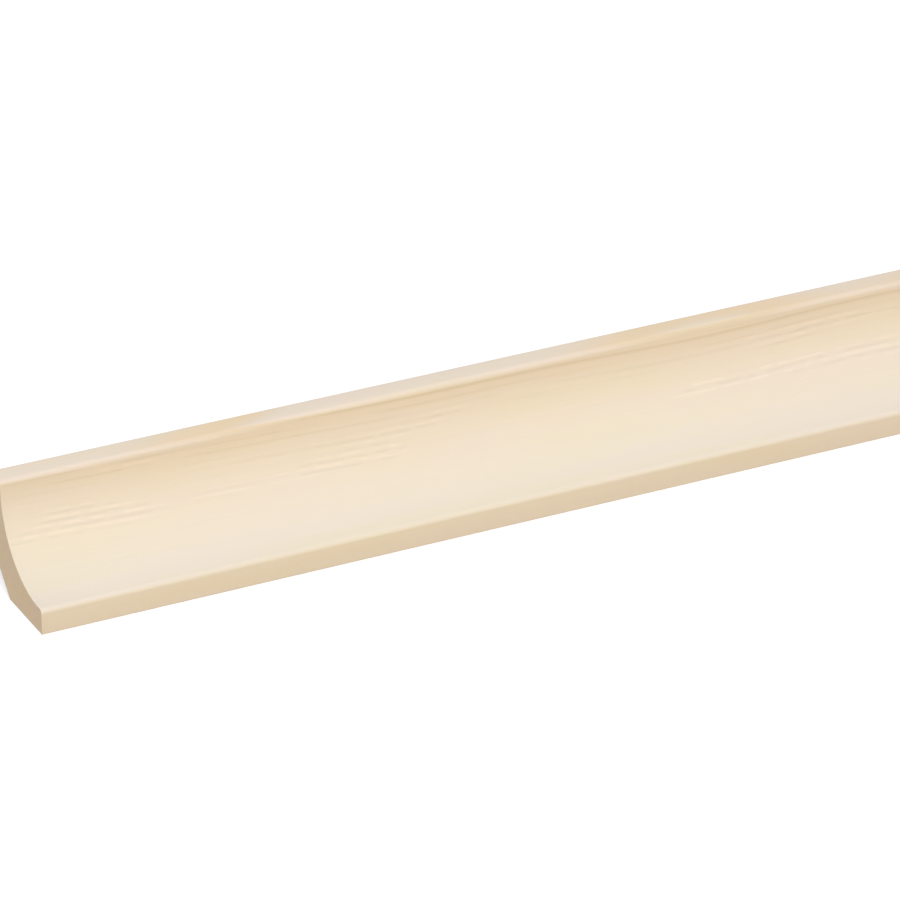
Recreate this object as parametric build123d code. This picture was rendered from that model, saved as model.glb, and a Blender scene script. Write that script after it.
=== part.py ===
from build123d import *

import os

# Cove moulding: one length of planed softwood trim, run from a square blank.
# The section fills a right-angled corner. One leg lies flat under it, the other stands flat behind it,
# and the face between them is a quarter-round hollow that ends in a narrow lip on each leg.
# Where the hollow meets a lip, a short flat leads into a rounded arris.
# The hidden corner is bevelled off, so that the strip seats on its legs and not on a rough corner.
#
# Frame: X along the strip, Y towards the standing leg, Z up.
# The origin is on the floor, under the middle of the section's depth and halfway along the strip.

# Driving dimensions, in millimetres
LENGTH = 900.0  # length the stock is sold in, sawn square at both ends
LEG = 28.0  # overall section, the same along both legs
LIP = 6.2  # lip at each end of the hollow, with its rounded arris
BACK_BEVEL = 9.7  # taken off the hidden corner, along each leg
FRONT_ARRIS = 1.2  # rounding where the hollow runs out on a lip
HOLLOW_FLAT = 0.6  # short flat between the hollow's curve and an arris
OUTER_ARRIS = 0.25  # rounding where a lip turns onto its leg

# Worked out from the driving dimensions
HOLLOW = LEG - LIP  # opening of the hollow along each leg
HOLLOW_RADIUS = HOLLOW - FRONT_ARRIS - HOLLOW_FLAT


def section_corner(depth: float, height: float) -> tuple[float, float]:
    """A point of the section, given from its lower front corner, in the sketch's own axes."""
    return (depth - LEG / 2, height)


def rounded(section: Sketch, corners: list[tuple[float, float]], radius: float) -> Sketch:
    """The section with the vertices at these corners rounded."""
    arrises = [section.vertices().sort_by_distance(corner)[0] for corner in corners]
    return fillet(arrises, radius)


def cove_section() -> Sketch:
    """The moulding's section: depth along the sketch's X, height along its Y."""
    blank = Pos(*section_corner(LEG / 2, LEG / 2)) * Rectangle(LEG, LEG)
    opening = Pos(*section_corner(HOLLOW / 2, LEG - HOLLOW / 2)) * Rectangle(HOLLOW, HOLLOW)
    hollow = rounded(opening, [section_corner(HOLLOW, LIP)], HOLLOW_RADIUS)
    hidden_corner = make_face(
        Polyline(
            section_corner(LEG - BACK_BEVEL, 0),
            section_corner(LEG, 0),
            section_corner(LEG, BACK_BEVEL),
            close=True,
        )
    )
    section = blank - hollow - hidden_corner

    hollow_ends = [section_corner(0, LIP), section_corner(HOLLOW, LEG)]
    lip_corners = [section_corner(0, 0), section_corner(LEG, LEG)]
    section = rounded(section, hollow_ends, FRONT_ARRIS)
    return rounded(section, lip_corners, OUTER_ARRIS)


def cove_moulding() -> Part:
    """The whole strip, its section run along X."""
    across = Plane(origin=(0, 0, 0), x_dir=(0, 1, 0), z_dir=(1, 0, 0))
    return extrude(across * cove_section(), LENGTH / 2, both=True)


os.makedirs("parts", exist_ok=True)
export_step(cove_moulding(), "parts/cove_moulding.step")
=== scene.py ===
"""A strip of planed pine cove moulding, dressed and lit on a plain pale floor."""

import logging
import math
from dataclasses import dataclass
from enum import Enum
from typing import Any

import bpy
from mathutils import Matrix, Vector


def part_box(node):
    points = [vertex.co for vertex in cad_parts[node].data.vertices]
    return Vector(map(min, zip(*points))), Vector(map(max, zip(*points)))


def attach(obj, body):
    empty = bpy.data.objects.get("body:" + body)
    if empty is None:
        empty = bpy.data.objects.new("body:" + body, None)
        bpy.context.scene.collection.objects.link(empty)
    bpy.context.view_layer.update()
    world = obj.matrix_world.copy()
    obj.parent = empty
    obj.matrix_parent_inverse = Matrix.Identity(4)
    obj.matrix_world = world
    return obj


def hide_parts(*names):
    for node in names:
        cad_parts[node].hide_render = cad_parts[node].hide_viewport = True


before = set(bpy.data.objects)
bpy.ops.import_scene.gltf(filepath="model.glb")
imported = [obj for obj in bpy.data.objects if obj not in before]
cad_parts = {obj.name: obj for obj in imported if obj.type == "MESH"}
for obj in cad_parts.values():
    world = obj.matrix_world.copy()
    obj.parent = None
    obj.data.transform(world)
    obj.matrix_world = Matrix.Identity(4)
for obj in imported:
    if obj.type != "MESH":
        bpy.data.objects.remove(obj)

LOG = logging.getLogger("cove_moulding")
MM = 0.001
STRIP_NODE = "cove_moulding"
IMAGE_SIDE = 900
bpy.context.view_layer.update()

# Kinds of node that come up often
MATH = "ShaderNodeMath"
VECTOR_MATH = "ShaderNodeVectorMath"
MAP_RANGE = "ShaderNodeMapRange"
MIX = "ShaderNodeMix"

# Settings that many nodes share
ADD = {"operation": "ADD"}
TIMES = {"operation": "MULTIPLY"}
TIMES_AND_ADD = {"operation": "MULTIPLY_ADD"}
SMOOTH = {"interpolation_type": "SMOOTHSTEP"}
ABSOLUTE = {"operation": "ABSOLUTE"}
LARGER = {"operation": "MAXIMUM"}
COLOUR_MIX = {"data_type": "RGBA"}

Point = tuple[float, float]
Span = tuple[float, float]
Shift = tuple[float, float, float]
Colour = tuple[float, float, float, float]
Tree = bpy.types.NodeTree
Node = bpy.types.Node
Socket = bpy.types.NodeSocket


def linear(code: str) -> Colour:
    """Turn an sRGB hex colour into the linear colour that shaders take.

    Args:
        code: six hex digits, with or without a leading hash.

    Returns:
        Linear red, green, blue and an alpha of 1.
    """
    digits = code.lstrip("#")
    shares = [int(digits[i : i + 2], 16) / 255 for i in (0, 2, 4)]
    red, green, blue = [s / 12.92 if s <= 0.04045 else ((s + 0.055) / 1.055) ** 2.4 for s in shares]
    return red, green, blue, 1.0


def add_node(
    tree: Tree,
    kind: str,
    settings: dict[str, Any] | None = None,
    inputs: dict[int | str, Any] | None = None,
) -> Node:
    """Add a node, set its own properties and fill its inputs.

    Args:
        tree: the node tree that gets the node.
        kind: the node's type name.
        settings: properties of the node itself.
        inputs: by input name or number, a value to set, a socket to link, or a node whose output is linked.

    Returns:
        The new node.
    """
    node = tree.nodes.new(kind)
    for name, value in (settings or {}).items():
        setattr(node, name, value)
    for key, value in (inputs or {}).items():
        if isinstance(value, Node):
            value = next(socket for socket in value.outputs if socket.enabled)
        if isinstance(value, Socket):
            tree.links.new(value, node.inputs[key])
        else:
            node.inputs[key].default_value = value
    return node


def between(span: Span) -> dict[int, float]:
    """The two inputs of a map range that say where it begins and where it ends."""
    return {1: span[0], 2: span[1]}


class Surface(Enum):
    """The two ways in which the strip's faces were cut."""

    PLANED = "planed pine"
    SAWN_END = "sawn pine end grain"


@dataclass(frozen=True)
class CoveSection:
    """The moulding's section, measured from its lower front corner in depth and height.

    The hollow is a quarter circle. A short flat leads from each of its ends into a rounded arris.
    """

    leg: float
    lip: float = 6.2 * MM
    back_bevel: float = 9.7 * MM
    front_arris: float = 1.2 * MM
    hollow_flat: float = 0.6 * MM
    outer_arris: float = 0.25 * MM
    hollow_steps: int = 72
    arris_steps: int = 12
    outer_steps: int = 5

    def quarter(self, centre: Point, radius: float, start: int, turns: int, steps: int) -> list[Point]:
        """Points along a quarter circle, both ends included.

        Args:
            centre: the circle's centre, as depth and height.
            radius: its radius.
            start: the angle it begins at, in quarter turns.
            turns: 1 to run on anticlockwise, -1 to run clockwise.
            steps: the number of chords.

        Returns:
            The points in order.
        """
        angles = [(start + turns * i / steps) * math.pi / 2 for i in range(steps + 1)]
        return [(centre[0] + radius * math.cos(a), centre[1] + radius * math.sin(a)) for a in angles]

    def outline(self) -> list[Point]:
        """The closed outline, from the front of the base back, up and round through the hollow.

        Returns:
            Depth and height of each point, with round stretches as chords of true arcs.
        """
        leg, lip, rim, edge = self.leg, self.lip, self.front_arris, self.outer_arris
        inset = rim + self.hollow_flat
        base_front = self.quarter((edge, edge), edge, 2, 1, self.outer_steps)
        hidden_corner = [(leg - self.back_bevel, 0.0), (leg, self.back_bevel)]
        top_back = self.quarter((leg - edge, leg - edge), edge, 0, 1, self.outer_steps)
        top_front = self.quarter((leg - lip + rim, leg - rim), rim, 1, 1, self.arris_steps)
        hollow = self.quarter((inset, leg - inset), leg - lip - inset, 0, -1, self.hollow_steps)
        low_front = self.quarter((rim, lip - rim), rim, 1, 1, self.arris_steps)
        return base_front + hidden_corner + top_back + top_front + hollow + low_front


@dataclass(frozen=True)
class GrainWave:
    """One slow swing of the grain, up and down along the log."""

    length: float
    height: float
    start: float


@dataclass(frozen=True)
class PineLog:
    """Where in its log the strip was sawn, which sets how the growth rings meet its faces.

    The rings lie nearly level, so they show as thin lines where a face stands and as broad, pale bands
    where it lies flat. They swing along the strip and narrow inwards. They are counted from the main ring,
    whose dark line comes out on the upper lip and runs on just under its arris.
    """

    ring_width: float = 2.18 * MM
    narrowing: float = 0.0233 / MM
    pith_depth: float = 18.0 * MM
    pith_height: float = -85.0 * MM
    main_ring: float = 111.46 * MM
    grain_slope: float = 0.005
    waves: tuple[GrainWave, ...] = (
        GrainWave(length=520.0 * MM, height=1.742 * MM, start=1.746),
        GrainWave(length=90.9 * MM, height=0.264 * MM, start=-0.582),
        GrainWave(length=78.9 * MM, height=0.264 * MM, start=0.672),
    )
    wander: float = 0.06 * MM
    wander_length: float = 60.0 * MM
    wander_width: float = 8.0 * MM
    streak_roughness: float = 0.55

    def coordinates(self, tree: Tree, place: Socket) -> Node:
        """Turn object coordinates into the log's, along the pith and across it, with the swing taken out.

        Args:
            tree: the material's node tree.
            place: object coordinates, in metres.

        Returns:
            A node that gives the log's coordinates, in metres.
        """
        pith = (0.0, self.pith_depth, self.pith_height)
        lean = (0.0, math.atan(self.grain_slope), 0.0)
        log = add_node(
            tree,
            "ShaderNodeMapping",
            {"vector_type": "TEXTURE"},
            {"Vector": place, "Location": pith, "Rotation": lean},
        )
        along = add_node(tree, "ShaderNodeSeparateXYZ", None, {0: log})
        swing: float | Node = 0.0
        for wave in self.waves:
            turn = {0: along.outputs["X"], 1: math.tau / wave.length, 2: wave.start}
            angle = add_node(tree, MATH, TIMES_AND_ADD, turn)
            sine = add_node(tree, MATH, {"operation": "SINE"}, {0: angle})
            swing = add_node(tree, MATH, TIMES_AND_ADD, {0: sine, 1: -wave.height, 2: swing})
        lift = add_node(tree, "ShaderNodeCombineXYZ", None, {"Z": swing})
        return add_node(tree, VECTOR_MATH, ADD, {0: log, 1: lift})

    def streaks(
        self,
        tree: Tree,
        grain: Node,
        along: float,
        across: float,
        detail: float,
        shift: Shift = (0.0, 0.0, 0.0),
    ) -> Node:
        """Soft, irregular streaks that are drawn out along the grain.

        Args:
            tree: the material's node tree.
            grain: the log's coordinates, in metres.
            along: a streak's length.
            across: a streak's width.
            detail: octaves of finer streaks in it.
            shift: moves the pattern, counted in streaks.

        Returns:
            A node that gives their strength, from 0 to 1.
        """
        sizes = (1 / along, 1 / across, 1 / across)
        drawn = add_node(tree, VECTOR_MATH, TIMES_AND_ADD, {0: grain, 1: sizes, 2: shift})
        pattern = {"Vector": drawn, "Scale": 1.0, "Detail": detail, "Roughness": self.streak_roughness}
        return add_node(tree, "ShaderNodeTexNoise", None, pattern)

    def ring_count(self, tree: Tree, grain: Node) -> Node:
        """Distance from the main ring's dark line, counted in rings and growing away from the pith.

        Args:
            tree: the material's node tree.
            grain: the log's coordinates, in metres.

        Returns:
            A node that gives the number of rings, with its fraction.
        """
        across = add_node(tree, VECTOR_MATH, TIMES, {0: grain, 1: (0.0, 1.0, 1.0)})
        radius = add_node(tree, VECTOR_MATH, {"operation": "LENGTH"}, {0: across})
        drift = self.streaks(tree, grain, self.wander_length, self.wander_width, detail=2.0)
        stray = {0: drift, 1: 2 * self.wander, 2: -self.wander - self.main_ring}
        swing = add_node(tree, MATH, TIMES_AND_ADD, stray)
        beyond = add_node(tree, MATH, ADD, {0: radius, 1: swing})
        crowding = {0: beyond, 1: -self.narrowing / self.ring_width, 2: 1 / self.ring_width}
        density = add_node(tree, MATH, TIMES_AND_ADD, crowding)
        return add_node(tree, MATH, TIMES, {0: beyond, 1: density})


@dataclass(frozen=True)
class PineFinish:
    """Scots pine, knot-free and unfinished, as it leaves the planer or the saw.

    Planed pine is pale cream where it is cut flat to the rings and more honey where it is cut on edge,
    with thin brown latewood lines, faint lengthwise fibre and a soft, low sheen.
    The paler cream that faces lying flat get is partly the wood's flat cut and partly painted sheen.
    The sawn ends drink light: they look darker and duller, with the rings as arcs.
    """

    surface: Surface
    log: PineLog
    flat_grain_and_sheen: str
    edge_grain: str
    lip_early: str
    lip_late: str
    latewood: str
    honey_tint: str
    rose_tint: str
    roughness: float
    index: float = 1.45
    cut_power: float = 0.9
    strong_line: float = 0.32
    strong_rings: Span = (-0.6, -0.4)
    faint_line: float = 0.2
    faint_rings: Span = (-4.5, -1.0)
    flat_line_share: float = 0.8
    line_tilt: Span = (0.05, 0.4)
    line_sheen: float = 0.1
    line_rise: Span = (0.08, 0.5)
    line_drop: Span = (0.5, 0.7)
    band_rise: Span = (0.2, 0.42)
    band_drop: Span = (0.5, 0.64)
    break_length: float = 25.0 * MM
    break_width: float = 1.5 * MM
    break_span: Span = (0.4, 0.6)
    lip_rings: Span = (-1.6, -1.2)
    dash_grain_and_painted_light: float = 0.055
    dash_length: float = 3.5 * MM
    dash_width: float = 1.2 * MM
    dash_rings_begin: Span = (-10.0, -8.5)
    dash_rings_end: Span = (-1.3, -0.7)
    dash_span: Span = (0.4, 0.56)
    dash_gap_share: float = 0.25
    dash_tilt: Span = (0.32, 0.42)
    dash_relief: float = 0.3
    patch_length: float = 32.0 * MM
    patch_width: float = 5.5 * MM
    patch_shift: Shift = (22.3, 26.96, 36.9)
    patch_span: Span = (0.55, 0.64)
    fibre_length: float = 30.0 * MM
    fibre_width: float = 0.5 * MM
    fibre_strength: float = 0.04
    tint_length: float = 70.0 * MM
    tint_width: float = 8.0 * MM
    tint_span: Span = (0.3, 0.7)
    relief: float = 0.02 * MM

    def ring_phase(self, tree: Tree, rings: Node) -> Node:
        """Place within a ring, from 0 to 1, with the dark line at a half."""
        later = add_node(tree, MATH, ADD, {0: rings, 1: 0.5})
        return add_node(tree, MATH, {"operation": "FRACT"}, {0: later})

    def hump(self, tree: Tree, phase: Node, rise: Span, drop: Span) -> Node:
        """A soft hump over a stretch of each ring.

        Args:
            tree: the material's node tree.
            phase: place within a ring.
            rise: where it begins and is full.
            drop: where it begins to fall and is gone.

        Returns:
            A node that gives its height, from 0 to 1.
        """
        up = add_node(tree, MAP_RANGE, SMOOTH, {0: phase, **between(rise)})
        down = add_node(tree, MAP_RANGE, SMOOTH, {0: phase, **between(drop), 3: 1.0, 4: 0.0})
        return add_node(tree, MATH, TIMES, {0: up, 1: down})

    def edge_cut(self, tree: Tree, normal: Socket) -> Node:
        """How far a face is cut on edge to the rings: 1 where it stands and 0 where it lies flat.

        Args:
            tree: the material's node tree.
            normal: the face's own normal, in the object's axes.

        Returns:
            A node that gives the share.
        """
        facing = add_node(tree, "ShaderNodeSeparateXYZ", None, {0: normal})
        level = add_node(tree, MATH, ABSOLUTE, {0: facing.outputs["Z"]})
        stands = add_node(tree, MATH, {"operation": "SUBTRACT"}, {0: 1.0, 1: level})
        return add_node(tree, MATH, {"operation": "POWER"}, {0: stands, 1: self.cut_power})

    def latewood_share(self, tree: Tree, grain: Node, rings: Node, edge: Node) -> Node:
        """How much of the latewood colour shows: a thin line along each ring.

        The main ring and those outside it are strong. The next ones inwards fade, and break up on the way.

        Args:
            tree: the material's node tree.
            grain: the log's coordinates, in metres.
            rings: the count of rings, with its fraction.
            edge: how far the face is cut on edge.

        Returns:
            A node that gives the latewood colour's share.
        """
        line = self.hump(tree, self.ring_phase(tree, rings), self.line_rise, self.line_drop)
        outwards = {0: rings, **between(self.strong_rings), 4: self.strong_line}
        strong = add_node(tree, MAP_RANGE, SMOOTH, outwards)
        inwards = {0: rings, **between(self.faint_rings), 4: self.faint_line}
        inner = add_node(tree, MAP_RANGE, SMOOTH, inwards)
        patchy = self.log.streaks(tree, grain, self.break_length, self.break_width, detail=1.0)
        broken = add_node(tree, MAP_RANGE, SMOOTH, {0: patchy, **between(self.break_span)})
        faint = add_node(tree, MATH, TIMES, {0: inner, 1: broken})
        depth = add_node(tree, MATH, LARGER, {0: strong, 1: faint})
        tilt = {0: edge, **between(self.line_tilt), 3: self.flat_line_share}
        seen = add_node(tree, MAP_RANGE, SMOOTH, tilt)
        shown = add_node(tree, MATH, TIMES, {0: line, 1: depth})
        return add_node(tree, MATH, TIMES, {0: shown, 1: seen})

    def dashes(self, tree: Tree, grain: Node, rings: Node, edge: Node) -> Node:
        """Groups of short light and dark dashes along the rings, where a face stands.

        They are rings that the planer's ripple cut into short lengths. Their light halves are painted
        highlight on the ripple, and their dark halves are partly the rings' own colour and partly painted
        shade.

        Args:
            tree: the material's node tree.
            grain: the log's coordinates, in metres.
            rings: the count of rings, with its fraction.
            edge: how far the face is cut on edge.

        Returns:
            A node that gives a wave from -1 to 1, flat outside the groups.
        """
        angle = add_node(tree, MATH, TIMES_AND_ADD, {0: rings, 1: math.tau, 2: -math.pi / 2})
        wave = add_node(tree, MATH, {"operation": "SINE"}, {0: angle})
        cuts = self.log.streaks(tree, grain, self.dash_length, self.dash_width, detail=0.0)
        gaps = {0: cuts, **between(self.dash_span), 3: self.dash_gap_share}
        broken = add_node(tree, MAP_RANGE, SMOOTH, gaps)
        groups = self.log.streaks(
            tree, grain, self.patch_length, self.patch_width, detail=0.0, shift=self.patch_shift
        )
        group = add_node(tree, MAP_RANGE, SMOOTH, {0: groups, **between(self.patch_span)})
        stands = add_node(tree, MAP_RANGE, SMOOTH, {0: edge, **between(self.dash_tilt)})
        inside = self.hump(tree, rings, self.dash_rings_begin, self.dash_rings_end)
        short = add_node(tree, MATH, TIMES, {0: wave, 1: broken})
        grouped = add_node(tree, MATH, TIMES, {0: short, 1: group})
        kept = add_node(tree, MATH, TIMES, {0: grouped, 1: inside})
        return add_node(tree, MATH, TIMES, {0: kept, 1: stands})

    def body_colour(self, tree: Tree, grain: Node, rings: Node, edge: Node) -> Node:
        """The wood's colour between its lines.

        Args:
            tree: the material's node tree.
            grain: the log's coordinates, in metres.
            rings: the count of rings, with its fraction.
            edge: how far the face is cut on edge.

        Returns:
            A node that gives the colour.
        """
        band = self.hump(tree, self.ring_phase(tree, rings), self.band_rise, self.band_drop)
        banded = {0: band, 6: linear(self.lip_early), 7: linear(self.lip_late)}
        lip = add_node(tree, MIX, COLOUR_MIX, banded)
        outer = add_node(tree, MAP_RANGE, SMOOTH, {0: rings, **between(self.lip_rings)})
        # Faces that lie flat, the upper lip's bands among them, take paler, cooler colours than faces that
        # stand: partly the wood's flat cut and partly painted sheen
        flat = add_node(tree, MIX, COLOUR_MIX, {0: outer, 6: linear(self.flat_grain_and_sheen), 7: lip})
        face = add_node(tree, MIX, COLOUR_MIX, {0: edge, 6: flat, 7: linear(self.edge_grain)})
        clouds = self.log.streaks(tree, grain, self.tint_length, self.tint_width, detail=2.0)
        tint = add_node(tree, MAP_RANGE, SMOOTH, {0: clouds, **between(self.tint_span)})
        tinted = {0: tint, 6: linear(self.honey_tint), 7: linear(self.rose_tint)}
        tone = add_node(tree, MIX, COLOUR_MIX, tinted)
        glaze = COLOUR_MIX | {"blend_type": "MULTIPLY"}
        return add_node(tree, MIX, glaze, {0: 1.0, 6: face, 7: tone})

    def material(self) -> bpy.types.Material:
        """Build the finish as a node material on object coordinates.

        Returns:
            The material, named for the wood and its cut.
        """
        material = bpy.data.materials.new(self.surface.value.replace(" ", "_"))
        material.use_nodes = True
        tree = material.node_tree
        tree.nodes.clear()
        given = add_node(tree, "ShaderNodeTexCoord")
        grain = self.log.coordinates(tree, given.outputs["Object"])
        rings = self.log.ring_count(tree, grain)
        edge = self.edge_cut(tree, given.outputs["Normal"])
        late = self.latewood_share(tree, grain, rings, edge)
        dashes = self.dashes(tree, grain, rings, edge)
        body = self.body_colour(tree, grain, rings, edge)
        wood = add_node(tree, MIX, COLOUR_MIX, {0: late, 6: body, 7: linear(self.latewood)})

        fibre = self.log.streaks(tree, grain, self.fibre_length, self.fibre_width, detail=3.0)
        contrast = {0: fibre, 1: self.fibre_strength, 2: 1 - self.fibre_strength / 2}
        streak = add_node(tree, MATH, TIMES_AND_ADD, contrast)
        # The dash wave lightens and darkens the colour: painted highlight and shade of the planer's ripple
        # over the rings' own colour; the same wave also drives the bump
        gain = add_node(tree, MATH, TIMES_AND_ADD, {0: dashes, 1: self.dash_grain_and_painted_light, 2: streak})
        colour = add_node(tree, VECTOR_MATH, {"operation": "SCALE"}, {0: wood, "Scale": gain})

        height = add_node(tree, MATH, TIMES_AND_ADD, {0: dashes, 1: self.dash_relief, 2: fibre})
        bump = add_node(tree, "ShaderNodeBump", None, {"Distance": self.relief, "Height": height})
        sheen = add_node(tree, MATH, TIMES_AND_ADD, {0: late, 1: -self.line_sheen, 2: self.roughness})
        skin = {"Base Color": colour, "Roughness": sheen, "IOR": self.index, "Normal": bump}
        shader = add_node(tree, "ShaderNodeBsdfPrincipled", None, skin)
        add_node(tree, "ShaderNodeOutputMaterial", None, {"Surface": shader})
        return material


@dataclass
class SweptStrip:
    """A section run straight along the strip by Geometry Nodes, with a finish on its faces and its ends."""

    section: CoveSection
    length: float
    finishes: dict[Surface, PineFinish]
    runs: int = 3
    run_gap: float = 2.0 * MM
    end_cut_least: float = 0.5
    crease: float = 30.0

    def outline_mesh(self) -> bpy.types.Mesh:
        """The section as a ring of edges in a sketch plane.

        A profile's X lies along -Y, and its Y along -Z, on a run towards +X, so both are turned round here.

        Returns:
            A mesh with edges only.
        """
        half = self.section.leg / 2
        corners = [(half - depth, -height, 0.0) for depth, height in self.section.outline()]
        edges = [(i, (i + 1) % len(corners)) for i in range(len(corners))]
        mesh = bpy.data.meshes.new("cove_section")
        mesh.from_pydata(corners, edges, [])
        return mesh

    def sweep_tree(self) -> tuple[Tree, dict[str, str]]:
        """Build the node tree that runs the section along the strip and dresses it.

        Returns:
            The tree and the identifier of each of its named inputs.
        """
        tree = bpy.data.node_groups.new("run_section_along_strip", "GeometryNodeTree")
        sockets = {"Section": "Geometry", "Length": "Float", "Runs": "Int"}
        sockets |= {"Planed Finish": "Material", "End Finish": "Material"}
        names = {}
        for name, kind in sockets.items():
            socket = tree.interface.new_socket(name, in_out="INPUT", socket_type=f"NodeSocket{kind}")
            names[name] = socket.identifier
        tree.interface.new_socket("Strip", in_out="OUTPUT", socket_type="NodeSocketGeometry")
        given = add_node(tree, "NodeGroupInput").outputs

        profile = add_node(tree, "GeometryNodeMeshToCurve", None, {"Mesh": given["Section"]})
        half = add_node(tree, MATH, TIMES, {0: given["Length"], 1: 0.5})
        back = add_node(tree, MATH, TIMES, {0: given["Length"], 1: -0.5})
        left = add_node(tree, "ShaderNodeCombineXYZ", None, {"X": back})
        right = add_node(tree, "ShaderNodeCombineXYZ", None, {"X": half})
        line = add_node(tree, "GeometryNodeCurvePrimitiveLine", None, {"Start": left, "End": right})
        stations = add_node(tree, MATH, ADD, {0: given["Runs"], 1: 1.0})
        path = add_node(tree, "GeometryNodeResampleCurve", None, {"Curve": line, "Count": stations})
        sweep = {"Curve": path, "Profile Curve": profile, "Fill Caps": True}
        swept = add_node(tree, "GeometryNodeCurveToMesh", None, sweep)
        solid = add_node(tree, "GeometryNodeRealizeInstances", None, {"Geometry": swept})
        sides = {"Geometry": solid, "Material": given["Planed Finish"]}
        planed = add_node(tree, "GeometryNodeSetMaterial", None, sides)
        normal = add_node(tree, "GeometryNodeInputNormal")
        facing = add_node(tree, "ShaderNodeSeparateXYZ", None, {0: normal})
        endways = add_node(tree, MATH, ABSOLUTE, {0: facing.outputs["X"]})
        beyond = {"data_type": "FLOAT", "operation": "GREATER_THAN"}
        is_end = add_node(tree, "FunctionNodeCompare", beyond, {0: endways, 1: self.end_cut_least})
        ends = {"Geometry": planed, "Selection": is_end, "Material": given["End Finish"]}
        dressed = add_node(tree, "GeometryNodeSetMaterial", None, ends)
        add_node(tree, "NodeGroupOutput", None, {"Strip": dressed})
        return tree, names

    def lay_out_texture(self, mesh: bpy.types.Mesh) -> None:
        """Give the mesh a texture map with the strip's faces unrolled in equal runs, one above the other.

        Args:
            mesh: the finished strip, whose vertices come ring by ring along it.
        """
        outline = self.section.outline()
        count = len(outline)
        steps = [math.dist(outline[i], outline[(i + 1) % count]) for i in range(count)]
        girth = [sum(steps[:i]) for i in range(count + 1)]
        run = self.length / self.runs
        row = girth[-1] + self.run_gap
        side = max(run + 2 * self.run_gap, self.runs * row + self.section.leg + 2 * self.run_gap)
        half = self.section.leg / 2
        layer = mesh.uv_layers.new(name="OFBake")
        for face in mesh.polygons:
            spots = [v % count for v in face.vertices]
            is_end = abs(face.normal.x) > self.end_cut_least
            first = min(v // count for v in face.vertices)
            wraps = 0 in spots and count - 1 in spots
            for corner, vertex, spot in zip(face.loop_indices, face.vertices, spots):
                place = mesh.vertices[vertex].co
                if is_end:
                    shift = self.run_gap if place.x < 0 else 2 * self.run_gap + self.section.leg
                    across, up = place.y + half + shift, self.runs * row + self.run_gap + place.z
                else:
                    turn = count if wraps and spot == 0 else spot
                    across = place.x + self.length / 2 - first * run + self.run_gap
                    up = girth[turn] + first * row + self.run_gap
                layer.data[corner].uv = (across / side, up / side)

    def build(self) -> bpy.types.Object:
        """Make the strip as a plain mesh in place of its CAD node.

        Returns:
            The strip's object, riding on the part.
        """
        tree, names = self.sweep_tree()
        strip = bpy.data.objects.new("planed_strip", self.outline_mesh())
        bpy.context.scene.collection.objects.link(strip)
        modifier = strip.modifiers.new("run_section", "NODES")
        modifier.node_group = tree
        modifier[names["Length"]] = self.length
        modifier[names["Runs"]] = self.runs
        modifier[names["Planed Finish"]] = self.finishes[Surface.PLANED].material()
        modifier[names["End Finish"]] = self.finishes[Surface.SAWN_END].material()

        graph = bpy.context.evaluated_depsgraph_get()
        mesh = bpy.data.meshes.new_from_object(strip.evaluated_get(graph), depsgraph=graph)
        strip.modifiers.clear()
        strip.data = mesh
        mesh.name = "planed_strip"
        mesh.polygons.foreach_set("use_smooth", [True] * len(mesh.polygons))
        mesh.set_sharp_from_angle(angle=math.radians(self.crease))
        self.lay_out_texture(mesh)

        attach(strip, "root")
        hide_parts(STRIP_NODE)
        LOG.info("planed strip: %d faces", len(mesh.polygons))
        return strip


def direction(azimuth: float, elevation: float) -> Vector:
    """The unit vector from the object towards a viewer or lamp.

    Args:
        azimuth: degrees round the object, 0 in front of it and 90 on its right.
        elevation: degrees above the floor.

    Returns:
        The direction, in the object's frame.
    """
    around, up = math.radians(azimuth), math.radians(elevation)
    return Vector((math.sin(around) * math.cos(up), -math.cos(around) * math.cos(up), math.sin(up)))


@dataclass(frozen=True)
class Softbox:
    """A square studio lamp that points at the strip."""

    name: str
    azimuth: float
    elevation: float
    distance: float
    side: float
    power: float

    def build(self, target: Vector) -> bpy.types.Object:
        """Place the lamp round the target.

        Args:
            target: the point it faces.

        Returns:
            The lamp's object.
        """
        lamp = bpy.data.lights.new(self.name, "AREA")
        lamp.shape = "SQUARE"
        lamp.size = self.side
        lamp.energy = self.power
        away = direction(self.azimuth, self.elevation)
        item = bpy.data.objects.new(self.name, lamp)
        item.location = target + away * self.distance
        item.rotation_euler = (-away).to_track_quat("-Z", "Y").to_euler()
        bpy.context.scene.collection.objects.link(item)
        return item


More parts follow.
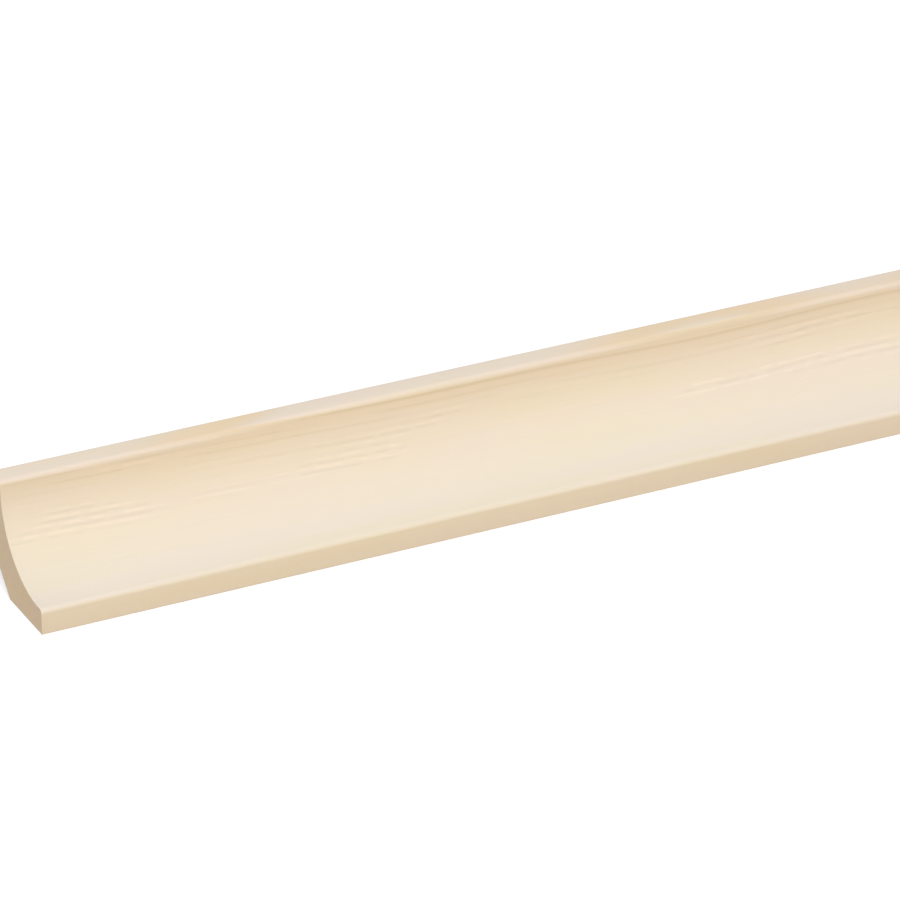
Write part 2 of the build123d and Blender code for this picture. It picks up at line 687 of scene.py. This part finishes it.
@dataclass(frozen=True)
class Studio:
    """The pale floor, the soft light and the white surroundings."""

    floor_side: float = 24.0
    floor_colour: str = "#D0D0D0"
    floor_lift: float = 0.47
    lamps: tuple[Softbox, ...] = (
        Softbox("key_softbox", azimuth=-20.0, elevation=48.7, distance=6.0, side=3.6, power=328.0),
        Softbox("end_softbox", azimuth=-85.0, elevation=35.0, distance=6.0, side=3.2, power=87.0),
        Softbox("back_softbox", azimuth=160.0, elevation=50.0, distance=6.0, side=3.2, power=77.0),
        Softbox("low_softbox", azimuth=180.0, elevation=12.0, distance=6.0, side=3.2, power=40.0),
    )

    def build_floor(self) -> bpy.types.Object:
        """Lay the floor under the strip.

        Returns:
            The floor's object, marked as stage.
        """
        half = self.floor_side / 2
        mesh = bpy.data.meshes.new("floor")
        corners = [(-half, -half, 0.0), (half, -half, 0.0), (half, half, 0.0), (-half, half, 0.0)]
        mesh.from_pydata(corners, [], [(0, 1, 2, 3)])
        material = bpy.data.materials.new("matt_white_floor")
        material.use_nodes = True
        tree = material.node_tree
        tree.nodes.clear()
        path = add_node(tree, "ShaderNodeLightPath")
        matt = add_node(tree, "ShaderNodeBsdfDiffuse", None, {"Color": linear(self.floor_colour)})
        glow = add_node(tree, "ShaderNodeEmission", None, {"Strength": self.floor_lift})
        lifted = add_node(tree, "ShaderNodeAddShader", None, {0: matt, 1: glow})
        seen = {0: path.outputs["Is Camera Ray"], 1: matt, 2: lifted}
        mixed = add_node(tree, "ShaderNodeMixShader", None, seen)
        add_node(tree, "ShaderNodeOutputMaterial", None, {"Surface": mixed})
        mesh.materials.append(material)
        floor = bpy.data.objects.new("floor", mesh)
        bpy.context.scene.collection.objects.link(floor)
        return floor

    def build_world(self) -> bpy.types.World:
        """Surround the scene with white that is seen and mirrored, and leave the light to the lamps.

        Returns:
            The scene's world.
        """
        world = bpy.data.worlds.new("white_surroundings")
        world.use_nodes = True
        tree = world.node_tree
        tree.nodes.clear()
        path = add_node(tree, "ShaderNodeLightPath")
        glossy, clear = path.outputs["Is Glossy Ray"], path.outputs["Is Transmission Ray"]
        mirrored = add_node(tree, MATH, LARGER, {0: glossy, 1: clear})
        seen = add_node(tree, MATH, LARGER, {0: path.outputs["Is Camera Ray"], 1: mirrored})
        glow = add_node(tree, "ShaderNodeBackground", None, {"Strength": seen})
        add_node(tree, "ShaderNodeOutputWorld", None, {"Surface": glow})
        bpy.context.scene.world = world
        return world

    def build(self, target: Vector) -> None:
        """Set the whole studio up round a point.

        Args:
            target: the point that the lamps face.
        """
        self.build_floor()
        self.build_world()
        for lamp in self.lamps:
            lamp.build(target)
            LOG.info("lamp: %s", lamp.name)


@dataclass(frozen=True)
class PhotoCamera:
    """The camera at the photograph's viewing angle, set by where the strip's lower front corner shows."""

    azimuth: float = -26.46
    elevation: float = 27.19
    focal_pixels: float = 6033.0
    corner_pixel: Point = (42.15, 635.1)
    corner_depth: float = 1336.6 * MM
    sensor: float = 36.0
    reach: float = 100.0

    def build(self, corner: Vector) -> bpy.types.Object:
        """Place the camera so that the corner shows at its pixel.

        Args:
            corner: the strip's lower front corner at its left end.

        Returns:
            The camera's object, set as the scene's camera.
        """
        lens = bpy.data.cameras.new("photo_camera")
        lens.sensor_width = self.sensor
        lens.lens = self.sensor * self.focal_pixels / IMAGE_SIDE
        lens.clip_end = self.reach
        back = direction(self.azimuth, self.elevation)
        turn = (-back).to_track_quat("-Z", "Y")
        right, up = turn @ Vector((1, 0, 0)), turn @ Vector((0, 1, 0))
        middle = IMAGE_SIDE / 2
        per_pixel = self.corner_depth / self.focal_pixels
        aside = (self.corner_pixel[0] - middle) * per_pixel
        above = (middle - self.corner_pixel[1]) * per_pixel
        camera = bpy.data.objects.new("photo_camera", lens)
        camera.location = corner - right * aside - up * above + back * self.corner_depth
        camera.rotation_euler = turn.to_euler()
        bpy.context.scene.collection.objects.link(camera)
        bpy.context.scene.camera = camera
        return camera


def pine_finishes(log: PineLog) -> dict[Surface, PineFinish]:
    """The strip's two finishes, cut from the same log.

    Args:
        log: where in its log the strip was sawn.

    Returns:
        A finish for each kind of surface.
    """
    # Planed: cream where a face lies flat, partly painted sheen, to honey where it stands, with thin brown
    # lines, pale bands on the upper lip and a soft, low sheen
    planed = PineFinish(
        Surface.PLANED,
        log,
        flat_grain_and_sheen="#ECE4D5",
        edge_grain="#F0DEC0",
        lip_early="#ECE0D0",
        lip_late="#F3E0C7",
        latewood="#D0B988",
        honey_tint="#FFFCF6",
        rose_tint="#FFFBFC",
        roughness=0.8,
    )
    # Sawn: darker and duller, with the rings as faint arcs
    end_wood = "#E6D0B0"
    sawn = PineFinish(
        Surface.SAWN_END,
        log,
        flat_grain_and_sheen=end_wood,
        edge_grain=end_wood,
        lip_early=end_wood,
        lip_late=end_wood,
        latewood="#B08B5C",
        honey_tint="#FFFCF6",
        rose_tint="#FEFBFF",
        roughness=0.8,
        strong_line=0.2,
        faint_line=0.12,
        faint_rings=(-60.0, -1.0),
        dash_grain_and_painted_light=0.0,
        fibre_length=0.5 * MM,
    )
    return {finish.surface: finish for finish in (planed, sawn)}


def main() -> None:
    """Build the strip, the studio and the camera in order."""
    logging.basicConfig(level=logging.INFO, format="%(name)s: %(message)s")
    low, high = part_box(STRIP_NODE)
    section = CoveSection(leg=high.z - low.z)
    strip = SweptStrip(section, high.x - low.x, pine_finishes(PineLog()))
    strip.build()
    Studio().build(Vector((low.x / 2, 0.0, section.leg / 2)))
    PhotoCamera().build(Vector((low.x, low.y, low.z)))
    bpy.context.scene.view_settings.view_transform = "Standard"


if __name__ == "__main__":
    main()
